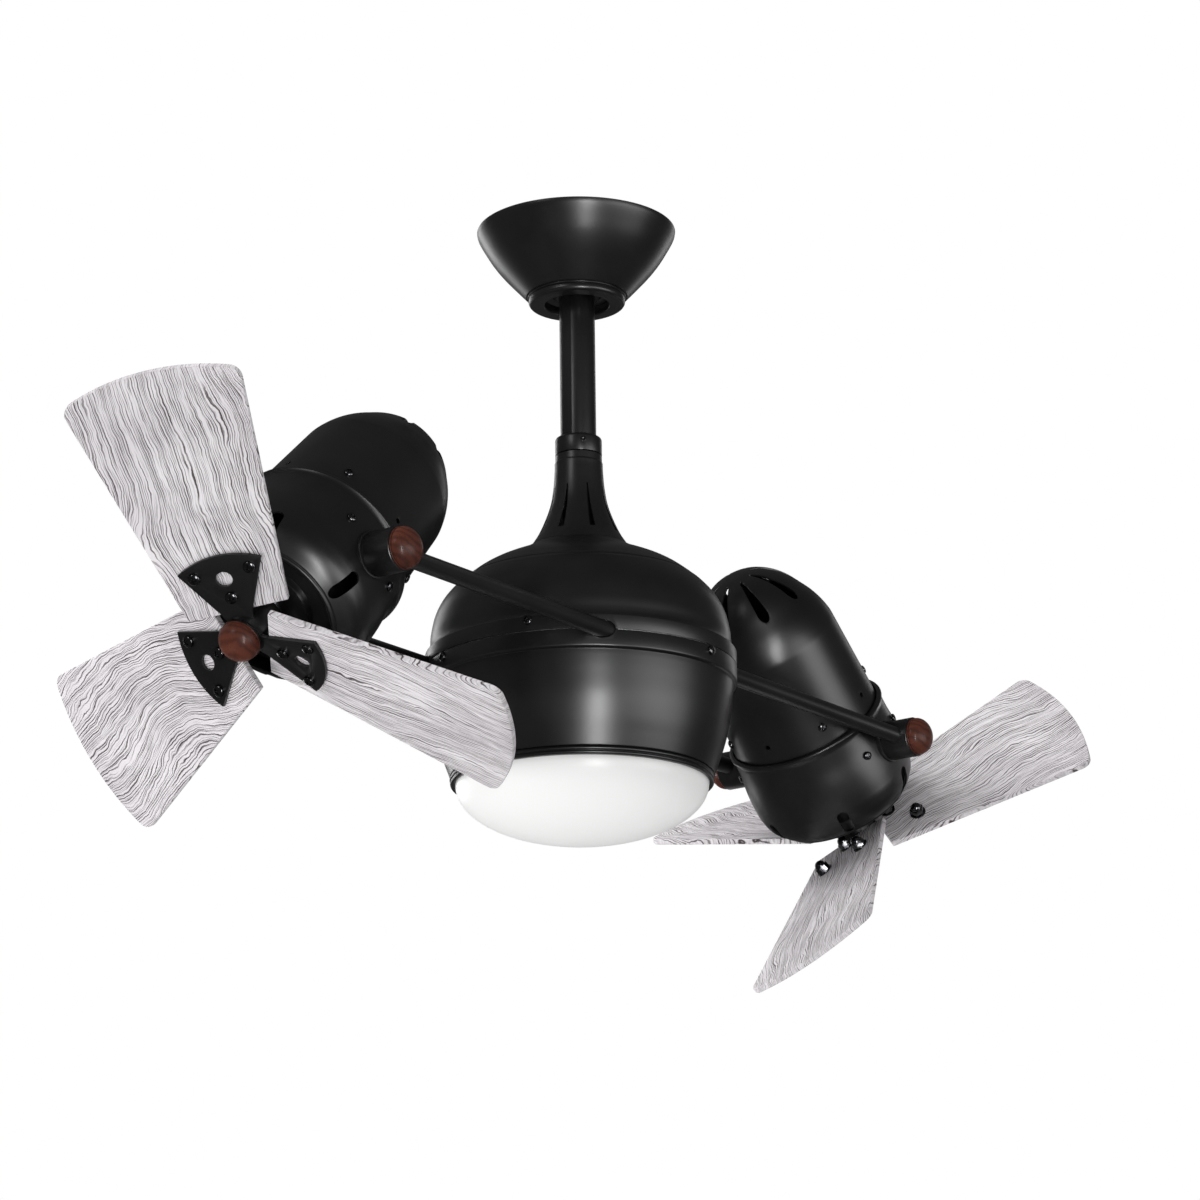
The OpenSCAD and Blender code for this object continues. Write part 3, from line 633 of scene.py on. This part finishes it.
def combined(piece, tools, operation="DIFFERENCE"):
    """Cuts the tools out of a piece, or adds them to it."""
    tool = joined(tools)
    modifier = piece.modifiers.new(operation.title(), "BOOLEAN")
    modifier.operation = operation
    modifier.solver = "EXACT"
    modifier.object = tool
    select_only(piece)
    bpy.ops.object.modifier_apply(modifier=modifier.name)
    bpy.data.objects.remove(tool)
    return piece


def settled(piece, node, material=None):
    """Finishes a piece that stands for a node: shading, material, body and slot."""
    select_only(piece)
    bpy.ops.object.shade_smooth_by_angle(angle=math.radians(32))
    piece.name = node + "_finished"
    piece.data.name = piece.name
    piece.data.materials.clear()
    piece.data.materials.append(material or finish_for(SLOT_OF[node]))
    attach(piece, BODY_OF[node])
    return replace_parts(piece, node)


def eased(node, edge):
    """A merged copy of a node's solid with its edges rounded, which stands for the node."""
    select_only(frame["nodes"][node])
    bpy.ops.object.duplicate()
    piece = bpy.context.object
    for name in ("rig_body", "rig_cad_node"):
        del piece[name]
    piece.parent = None
    edit(piece)
    bpy.ops.mesh.customdata_custom_splitnormals_clear()
    bpy.ops.mesh.remove_doubles(threshold=MERGE)
    bpy.ops.mesh.dissolve_limited(angle_limit=math.radians(0.5))
    bpy.ops.object.mode_set(mode="OBJECT")
    return settled(rounded(piece, edge, 35), node)


def head_frame(side):
    """The head's own frame: its origin on the tilt pivot, Z out of the mouth and Y along the pivot."""
    tilt, spin = JOINTS[side + "_tilt"], JOINTS[side + "_spin"]
    out, along = Vector(spin["axis"]), Vector(tilt["axis"])
    if abs(out.dot(along)) > 1e-6:
        raise RuntimeError("the " + side + " head's spin axis doesn't cross its tilt axis squarely")
    axes = Matrix((along.cross(out), along, out)).transposed().to_4x4()
    return Matrix.Translation(tilt["pos_m"]) @ axes


def blade_frame(side, number):
    """The frame of one blade: X along it, Y across it and Z through it."""
    turn = TURN[side] + number * 360 / BLADE_COUNT
    return head_frame(side) @ turned("Z", turn) @ shifted(0, 0, BLADE_PLANE) @ turned("X", PITCH)


# ---- Pieces ----

class FAN_OT_canopy(bpy.types.Operator):
    """Model the canopy bowl and the ring round its mouth"""
    bl_idname = "fan.canopy"
    bl_label = "Canopy"

    def execute(self, context):
        sizes = context.scene.fan_sizes
        rim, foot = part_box("canopy")[1].x / MM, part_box("canopy")[0].z / MM
        wall = sizes.sheet / MM
        mouth = 28.6
        side = flow([(rim, 0), (rim - 1, -4), (69.7, -12), (63.6, -22), (55.9, -32), (46, -43),
                     (38.2, foot)], 8)
        inside = [(r, min(0, max(z, foot + wall))) for r, z in moved_in(side, wall)]
        bowl = side + [(mouth, foot), (mouth, foot + wall)] + inside[::-1]
        settled(lathed("canopy", bowl, sizes.edge), "canopy")
        top, low = foot - 0.1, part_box("canopy_ring")[0].z / MM
        ring = [(24.4, top), (24.4, low + 0.8)] + arc(25.2, low + 0.8, 0.8, 180, 270, 4)
        ring += arc(33.4, low + 3, 3, -90, 0, 8)
        ring += [(36.4, foot - 2.2), (35.4, foot - 1.6), (36.9, foot - 1), (36.9, top)]
        ring += [(35, top), (35, foot - 3.4), (29.6, foot - 3.4), (29.6, top)]
        settled(lathed("ring", ring, 0.2 * MM), "canopy_ring")
        return {"FINISHED"}


class FAN_OT_neck(bpy.types.Operator):
    """Model the downrod, its collar and the slotted neck cover"""
    bl_idname = "fan.neck"
    bl_label = "Neck"

    def execute(self, context):
        sizes = context.scene.fan_sizes
        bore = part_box("downrod")[1].x / MM + 0.1
        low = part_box("rod_collar")[0].z / MM
        outer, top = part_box("rod_collar")[1].x / MM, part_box("rod_collar")[1].z / MM
        collar = [(bore, low), (outer, low)] + arc(outer - 2.4, top - 2.4, 2.4, 0, 80, 6) + [(bore, top)]
        holes = [drill(2.05, bore - 2, 30, outwards(angle, top - 5.4)) for angle in (-132, 48)]
        settled(combined(lathed("collar", collar, 0.3 * MM), holes), "rod_collar")
        low, top = (corner.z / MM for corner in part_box("neck_cover"))
        side = [(16.9, top), (17.3, top - 0.5), (17.3, top - 5.2), (17.7, top - 5.8)]
        side += flow([(17.9, top - 6.4), (18.0, -190), (19, -203), (21.2, -216), (25.4, -228.5),
                      (30.9, -240.5), (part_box("neck_cover")[1].x / MM, low)], 8)
        inside = moved_in(side[3:], sizes.sheet / MM)[::-1] + [(16.0, top - 1.2), (bore + 0.1, top - 1.2)]
        cover = lathed("cover", side + inside + [(bore + 0.1, top)], 0.2 * MM)
        count, turn = 8, 10
        wedge = [(-0.45, -204), (0.45, -204), (2.2, -240.5), (-2.2, -240.5)]
        slot = slab("slot", wedge, 0, 45)
        slots = [copied(slot, turned("Z", turn + 90 + i * 360 / count) @ turned("X", 90))
                 for i in range(count)]
        bpy.data.objects.remove(slot)
        settled(combined(cover, slots), "neck_cover")
        eased("downrod", 0.3 * MM)
        return {"FINISHED"}


class FAN_OT_centre(bpy.types.Operator):
    """Model the dome and the drum of the centre body, with their arm channels and screw holes"""
    bl_idname = "fan.centre"
    bl_label = "Centre body"

    def execute(self, context):
        sizes = context.scene.fan_sizes
        band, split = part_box("dome")[1].x / MM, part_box("dome")[0].z / MM
        wall = sizes.sheet / MM
        plate = [(20, -249.6)] + flow([(38.2, -250.4), (46, -255), (54, -258.6), (62, -262), (70, -265.9),
                                       (78, -270.8), (86.6, -277.4)], 5)
        side = flow([(88, -279.1), (92.3, -282.2), (101.2, -292.4), (107.1, -303.9), (110.1, -317.1),
                     (110.7, -326), (111.3, -329.6), (112.3, -331.5)], 8)
        side += arc(band - 1.4, -333.2, 1.4, 96, 0, 6) + [(band, split)]
        step = [(87.3, -278), (87.5, -278.9)]
        low_edge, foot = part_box("drum")[1].z / MM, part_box("drum")[0].z / MM
        drum = [(band, low_edge), (band - 0.1, low_edge - 8.7)]
        drum += arc(band - 1.9, low_edge - 11.1, 1.8, 0, -90, 6)
        drum += flow([(111.7, low_edge - 13.5), (111.3, -362), (110.1, -372), (107.7, -388), (104, -402),
                      (99.8, -414), (96.3, foot)], 8)
        axis = JOINTS["left_tilt"]["pos_m"][2] / MM
        dome = plate + step + side + moved_in(plate + side, wall)[::-1]
        for node, outline in (("dome", dome), ("drum", pressed(drum, wall))):
            cover = lathed(node, outline, 0.2 * MM)
            tools = [drill(ARM_HOLE, -130, 130, shifted(0, way * ARM_OFFSET, axis) @ turned("Y", 90))
                     for way in (-1, 1)]
            holes = [(angle, axis + 8.2) for angle in (-163, 17)]
            holes += [(angle, axis - 3.8) for angle in (-89, 31, 156)]
            tools += [drill(2, 100, 130, outwards(angle, height)) for angle, height in holes]
            settled(combined(cover, tools), node)
        return {"FINISHED"}


class FAN_OT_light(bpy.types.Operator):
    """Model the opal bowl and the beaded ring that holds it"""
    bl_idname = "fan.light"
    bl_label = "Light"

    def execute(self, context):
        low, top = (corner.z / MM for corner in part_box("glass_bowl"))
        outer, lip, wall = 92.3, 93.7, 3
        inner, rim = outer - wall, top - 6.2
        depth = rim - low
        bowl = dish(outer, depth, -90, 0, 36, rim)
        bowl += [(outer, top - 3), (lip, top - 3), (lip, top), (inner, top)]
        bowl += dish(inner, depth - wall, 0, -90, 36, rim)
        settled(lathed("bowl", bowl, 0.3 * MM), "glass_bowl")
        low, top = (corner.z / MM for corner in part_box("glass_ring"))
        ring = [(94.9, top), (94.9, low + 6.1), (95.6, low + 6.1)] + arc(95.2, low + 4.4, 1.4, 70, -50, 8)
        ring += [(95.5, low + 2.9)] + arc(94.8, low + 1.5, 1.4, 60, -80, 8)
        ring += [(92.7, low), (92.7, low + 3), (93.9, low + 3), (93.9, top)]
        settled(lathed("ring", ring, 0.1 * MM), "glass_ring")
        return {"FINISHED"}


class FAN_OT_heads(bpy.types.Operator):
    """Model the rear and front shells of both heads, with their vents, slots and screw holes"""
    bl_idname = "fan.heads"
    bl_label = "Head shells"

    def rear(self, wall):
        radius, centre = 57, -109
        # The rounded back, as shares of its radius, from the axis out
        form = [(0, -1.025), (0.09, -1.023), (0.193, -1.007), (0.374, -0.944), (0.553, -0.818),
                (0.693, -0.66), (0.803, -0.475), (0.888, -0.319), (0.951, -0.161), (0.993, 0),
                (1.003, 0.09)]
        line = flow([(radius * r, radius * z + centre) for r, z in form], 5)
        line += between(line[-1], (60.9, -33), 16) + [(61.5, -27)]
        inside = [(max(r, 0.0), z) for r, z in moved_in(line, -wall)]
        shell = lathed("rear", line + inside[::-1], 0.2 * MM)
        drop = arc(14.5, 0, 1, 97, 263, 10) + arc(40.5, 0, 4.4, -83, 83, 18)
        vent = slab("vent", drop, -175, -125)
        tools = [copied(vent, turned("Z", i * 45)) for i in range(8)]
        bpy.data.objects.remove(vent)
        tools += [drill(1.95, 40, 100, outwards(i * 45, -45)) for i in range(8)]
        return rounded(combined(shell, tools), 0.25 * MM, 55)

    def front(self, wall):
        line = [(62.2, -31)] + arc(63.6, -28.8, 1.9, -70, 50, 8)
        line += flow([(63.8, -25), (64.2, -12), (65.6, 2), (66, 14), (65.6, 25)], 5)
        line += flow([(65.1, 28.2), (63, 36), (59, 42.5), (53.2, 48.1)], 6) + [(52.6, 48.2), (52, 48.6)]
        mouth = arc(50.6, 49.1, 1.4, 10, 225, 14)
        inside = [(r, z) for r, z in moved_in(line, -wall) if z < 47.3]
        shell = lathed("front", line + mouth + inside[::-1], 0.2 * MM)
        pads = [rounded(drill(16.5, 60, 66.5, turned("X", 90 * way)), 0.5 * MM) for way in (-1, 1)]
        combined(shell, pads, "UNION")
        oblong = arc(-7, 0, 4.5, 90, 270, 14) + arc(7, 0, 4.5, -90, 90, 14)
        slot = slab("slot", oblong, 30, 80)
        tools = [copied(slot, outwards(30 + i * 60, 36)) for i in range(6)]
        bpy.data.objects.remove(slot)
        tools += [drill(2, 50, 100, outwards(angle, -5.5)) for angle in (65, 115, -65, -115)]
        tools += [drill(9.05, 50, 80, turned("X", 90 * way)) for way in (-1, 1)]
        return rounded(combined(shell, tools), 0.5 * MM, 55)

    def execute(self, context):
        wall = context.scene.fan_sizes.shell / MM
        for part, shell in (("rear_shell", self.rear(wall)), ("front_shell", self.front(wall))):
            for side in ("left", "right"):
                settled(copied(shell, head_frame(side)), side + "_" + part)
            bpy.data.objects.remove(shell)
        return {"FINISHED"}


class FAN_OT_blades(bpy.types.Operator):
    """Model the six wooden blades and give each its own run of grain"""
    bl_idname = "fan.blades"
    bl_label = "Blades"

    def outline(self):
        """Narrow root, straight sides, rounded corners and an arc at the tip."""
        reach, corner, half, root, start = 196.4, 184.3, 62.2, 35.4, 17
        radius = (half ** 2 + (reach - corner) ** 2) / (2 * (reach - corner))
        # The arc at the tip stops short of the corners, which are rounded
        swing = math.degrees(math.asin(half / radius)) - 2.6
        tip = arc(reach - radius, 0, radius, -swing, swing, 24)
        low = fillet((start, -root), (corner, -half), tip[0], 9, 8)
        high = fillet(tip[-1], (corner, half), (start, root), 9, 8)
        return [(start, root), (start, -root)] + low + tip[1:-1] + high

    def execute(self, context):
        scene = context.scene
        blade = slab("blade", self.outline(), -BLADE_THICKNESS / 2, BLADE_THICKNESS / 2)
        rounded(blade, scene.fan_sizes.blade_edge, 30, 3)
        # Each blade is cut from its own place in the wood, so no two have the same grain
        along, across, depth = -400, 170, 90
        for side, start in (("left", 0), ("right", 700)):
            for number in range(BLADE_COUNT):
                node = f"{side}_blade_{number + 1}"
                seat = blade_frame(side, number)
                board = seat @ shifted(along * number, across * number + start, depth)
                finish = Finish(node + "_wood", {"Specular IOR Level": 0.3})
                blade_wood(finish, scene.fan_colours, scene.fan_sizes, board, depth * MM)
                settled(copied(blade, seat), node, finish.material)
        bpy.data.objects.remove(blade)
        return {"FINISHED"}


class FAN_OT_caps(bpy.types.Operator):
    """Model the turned wooden caps on the bosses and the finials on the rotors"""
    bl_idname = "fan.caps"
    bl_label = "Wooden caps"

    def turned_cap(self, height):
        """A dome with a small bead and a groove at its foot."""
        foot = [(0, 0), (CAP_RADIUS - 0.5, 0)] + arc(CAP_RADIUS - 0.5, 0.6, 0.5, -70, 90, 6)
        groove = [(CAP_RADIUS - 0.9, 1.3), (CAP_RADIUS - 0.9, 1.6)]
        return lathed("cap", foot + groove + dish(CAP_RADIUS - 0.1, height - 1.8, 4, 90, 24, 1.8), 0, 96)

    def execute(self, context):
        cap = self.turned_cap(CAP_HEIGHT)
        pivot = JOINTS["right_tilt"]["pos_m"]
        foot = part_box("boss_caps")[1].y / MM - CAP_HEIGHT
        places = [shifted(x * pivot[0] / MM, y * foot, pivot[2] / MM) @ turned("X", -90 * y)
                  for x in (-1, 1) for y in (-1, 1)]
        settled(joined([copied(cap, place) for place in places]), "boss_caps")
        bpy.data.objects.remove(cap)
        finial = self.turned_cap(FINIAL_HEIGHT)
        for side in ("left", "right"):
            settled(copied(finial, head_frame(side) @ shifted(0, 0, FINIAL_SEAT)), side + "_finial")
        bpy.data.objects.remove(finial)
        return {"FINISHED"}


class FAN_OT_hardware(bpy.types.Operator):
    """Round the edges of the arms, blade irons, motor frames and fasteners"""
    bl_idname = "fan.hardware"
    bl_label = "Arms and hardware"

    def execute(self, context):
        edges = {"front_arm": 0.5, "rear_arm": 0.5, "seam_screws": 0.2, "collar_screws": 0.15,
                 "canopy_screws": 0.15, "hanger_ball": 0.3}
        for side in ("left_", "right_"):
            edges |= {side + "blade_holder": 0.35, side + "blade_screws": 0.2, side + "cap_nuts": 0.25,
                      side + "shell_screws": 0.2, side + "motor_frame": 0.4}
        for node, edge in edges.items():
            eased(node, edge * MM)
        return {"FINISHED"}


class FAN_OT_inner(bpy.types.Operator):
    """Give every node that is still shown the material of its slot"""
    bl_idname = "fan.inner"
    bl_label = "Inner pieces"

    def execute(self, context):
        for name, node in frame["nodes"].items():
            if node.hide_render:
                continue
            for place in node.material_slots:
                place.material = finish_for(SLOT_OF[name])
        return {"FINISHED"}


class FAN_OT_stage(bpy.types.Operator):
    """Set the floor, the surroundings, the lamps and the camera"""
    bl_idname = "fan.stage"
    bl_label = "Stage"

    def floor(self, view):
        select_only()
        bpy.ops.mesh.primitive_plane_add(size=40, location=(0, 0, 0))
        floor = bpy.context.object
        floor.name = "floor"
        floor.visible_glossy = False
        placed(floor, Matrix.Translation((0, 0, -view.floor_drop)))
        finish = Finish("floor", {"Specular IOR Level": 0.2})
        at = finish.place()
        speckle = finish.noise(at, 30, 4)
        finish.feed(Base_Color=finish.mix(speckle, (0.84, 0.84, 0.84), (0.80, 0.80, 0.80)))
        finish.feed(Roughness=speckle * 0.2 + 0.6)
        floor.data.materials.append(finish.material)

    def surroundings(self, view):
        world = bpy.data.worlds.new("studio")
        world.use_nodes = True
        tree = world.node_tree
        path = tree.nodes.new("ShaderNodeLightPath")
        sky = tree.nodes["Background"]
        sky.inputs["Color"].default_value = (1, 1, 1, 1)

        def share(low, high, factor):
            """low where the factor is 0 and high where it is 1."""
            node = tree.nodes.new("ShaderNodeMix")
            for key, value in ((0, factor), (2, low), (3, high)):
                if isinstance(value, bpy.types.NodeSocket):
                    tree.links.new(value, node.inputs[key])
                else:
                    node.inputs[key].default_value = value
            return node.outputs[0]

        fill = share(view.fill, view.gloss, path.outputs["Is Glossy Ray"])
        through = share(fill, 1.0, path.outputs["Is Transmission Ray"])
        tree.links.new(share(through, 1.0, path.outputs["Is Camera Ray"]), sky.inputs["Strength"])
        bpy.context.scene.world = world

    def lamp(self, name, bearing, rise, size, power, distance=3.0, spread=60, lights=True, mirrored=True):
        """A soft box that faces the fan from a bearing, in degrees to the right of the camera.
        It may light the fan, be mirrored in its gloss, or both."""
        view = bpy.context.scene.fan_view
        centre = Vector((0, 0, -0.3))
        ahead = math.atan2(view.place[1], view.place[0])
        angle, lift = ahead + math.radians(bearing), math.radians(rise)
        away = Vector((math.cos(angle) * math.cos(lift), math.sin(angle) * math.cos(lift), math.sin(lift)))
        select_only()
        bpy.ops.object.light_add(type="AREA", location=centre + away * distance)
        lamp = bpy.context.object
        lamp.name = name
        lamp.rotation_mode = "QUATERNION"
        lamp.rotation_quaternion = away.to_track_quat("Z", "Y")
        lamp.data.shape = "RECTANGLE"
        lamp.data.size, lamp.data.size_y = size
        lamp.data.spread = math.radians(spread)
        lamp.data.energy = power
        lamp.visible_diffuse = lights
        lamp.visible_glossy = mirrored

    def camera(self, view):
        """Stands the camera where the photograph was taken from."""
        select_only()
        bpy.ops.object.camera_add()
        camera = bpy.context.object
        ahead = Vector((math.sin(view.yaw) * math.cos(view.pitch), math.cos(view.yaw) * math.cos(view.pitch),
                        math.sin(view.pitch)))
        level = Vector((math.cos(view.yaw), -math.sin(view.yaw), 0))
        upright = level.cross(ahead)
        right = level * math.cos(view.roll) + upright * math.sin(view.roll)
        up = upright * math.cos(view.roll) - level * math.sin(view.roll)
        camera.matrix_world = (Matrix.Translation(view.place)
                               @ Matrix((right, up, -ahead)).transposed().to_4x4())
        camera.data.sensor_width = 36
        camera.data.lens = view.lens
        camera.data.clip_start, camera.data.clip_end = 0.05, 60
        bpy.context.scene.camera = camera

    def execute(self, context):
        view = context.scene.fan_view
        context.scene.view_settings.view_transform = "Standard"
        self.floor(view)
        self.surroundings(view)
        self.lamp("strip_lamp", 13, -19, (0.42, 1.7), 14.5, spread=80, lights=False)
        self.lamp("side_lamp", 60, -8, (3.2, 1.5), 14, spread=80, lights=False)
        self.lamp("key_lamp", -38, 22, (0.7, 0.7), 1.2)
        self.lamp("front_lamp", 0, -20, (1.6, 1.6), 1.3, mirrored=False)
        self.lamp("top_lamp", -85, 50, (1.6, 1.6), 9, mirrored=False)
        self.lamp("under_lamp", -75, -50, (1.6, 1.6), 6.5, mirrored=False)
        self.lamp("left_rim_lamp", -146, 8, (0.5, 2.0), 1.6, distance=2.6)
        self.lamp("right_rim_lamp", 150, 8, (0.4, 2.0), 0.5, distance=2.6)
        self.camera(view)
        return {"FINISHED"}


class FAN_PT_panel(bpy.types.Panel):
    """Lists the steps that build the fan"""
    bl_idname = "FAN_PT_panel"
    bl_label = "Ceiling Fan"
    bl_space_type = "VIEW_3D"
    bl_region_type = "UI"
    bl_category = "Fan"

    def draw(self, context):
        layout = self.layout
        for step in STEPS:
            layout.operator(step.bl_idname)
        for group in (context.scene.fan_sizes, context.scene.fan_colours, context.scene.fan_view):
            box = layout.box()
            for name in group.__annotations__:
                box.prop(group, name)


STEPS = (FAN_OT_stage, FAN_OT_canopy, FAN_OT_neck, FAN_OT_centre, FAN_OT_light, FAN_OT_heads,
         FAN_OT_blades, FAN_OT_caps, FAN_OT_hardware, FAN_OT_inner)
GROUPS = {"fan_sizes": FanSizes, "fan_colours": FanColours, "fan_view": FanView}


def register():
    for group in GROUPS.values():
        bpy.utils.register_class(group)
    for name, group in GROUPS.items():
        setattr(bpy.types.Scene, name, PointerProperty(type=group))
    for kind in (*STEPS, FAN_PT_panel):
        bpy.utils.register_class(kind)


def unregister():
    for kind in (FAN_PT_panel, *reversed(STEPS)):
        bpy.utils.unregister_class(kind)
    for name, group in GROUPS.items():
        delattr(bpy.types.Scene, name)
        bpy.utils.unregister_class(group)


def main():
    """Builds the whole fan."""
    register()
    for step in STEPS:
        family, name = step.bl_idname.split(".")
        getattr(getattr(bpy.ops, family), name)()


if __name__ == "__main__":
    main()
